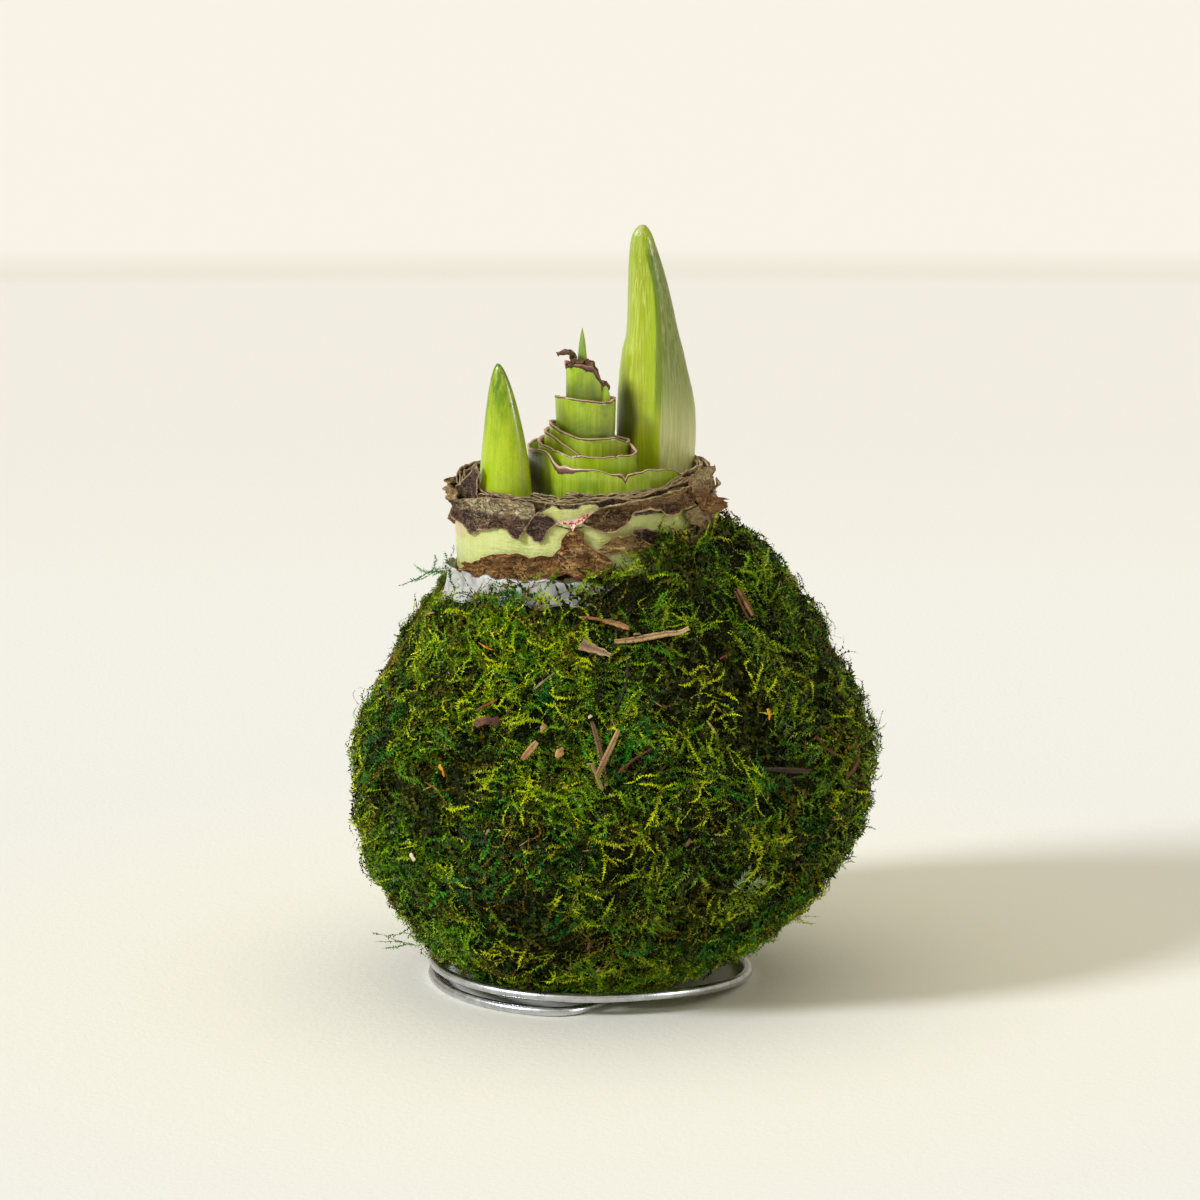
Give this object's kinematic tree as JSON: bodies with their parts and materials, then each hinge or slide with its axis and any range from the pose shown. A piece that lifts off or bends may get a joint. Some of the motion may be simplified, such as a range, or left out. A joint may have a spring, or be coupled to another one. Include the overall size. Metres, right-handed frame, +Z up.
{
  "type": "amaryllis bulb",
  "caption": "Waxed amaryllis bulb wrapped in sheet moss, with fresh shoots, a cut leaf stack and a scaly brown neck, standing on a coiled wire foot.",
  "frame": {"origin": "middle of the bounding box on the floor that the wire foot stands on", "axes": "+Z up along the neck, -Y towards the viewer, +X to the viewer's right"},
  "size_m": [0.111, 0.1114, 0.157],
  "materials": {
    "bulb_skin": "moist plant skin",
    "wax": "dull wax",
    "moss": "dry moss",
    "wire": "galvanised",
    "shoot": "waxy leaf",
    "leaf_base": "cut leaf",
    "dry_scale": "dry and papery",
    "litter": "weathered"
  },
  "bodies": {
    "root": {"bulb": "bulb_skin", "wax_coat": "wax", "moss_wrap": "moss", "wire_stand": "wire", "tall_shoot": "shoot", "short_shoot": "shoot", "tip_leaf": "shoot", "leaf_base_1": "leaf_base", "leaf_base_2": "leaf_base", "leaf_base_3": "leaf_base", "leaf_base_4": "leaf_base", "leaf_base_5": "leaf_base", "leaf_base_6": "leaf_base", "papery_ring_1": "dry_scale", "papery_ring_2": "dry_scale", "papery_ring_3": "dry_scale", "neck_scale_upper_left": "dry_scale", "neck_scale_small": "dry_scale", "neck_scale_upper_right": "dry_scale", "neck_scale_right_flap": "dry_scale", "neck_scale_lower_front": "dry_scale", "neck_scale_lower_right": "dry_scale", "neck_scale_back": "dry_scale", "neck_scale_back_left": "dry_scale", "dead_tip_curl": "dry_scale", "dead_tip_side": "dry_scale", "twig_long": "litter", "needle_left": "litter", "needle_cross": "litter", "needle_low": "litter", "twig_stub": "litter", "needle_right": "litter", "twig_shoulder": "litter", "bark_chip": "litter", "twig_back": "litter", "needle_back": "litter"}
  },
  "joints": []
}
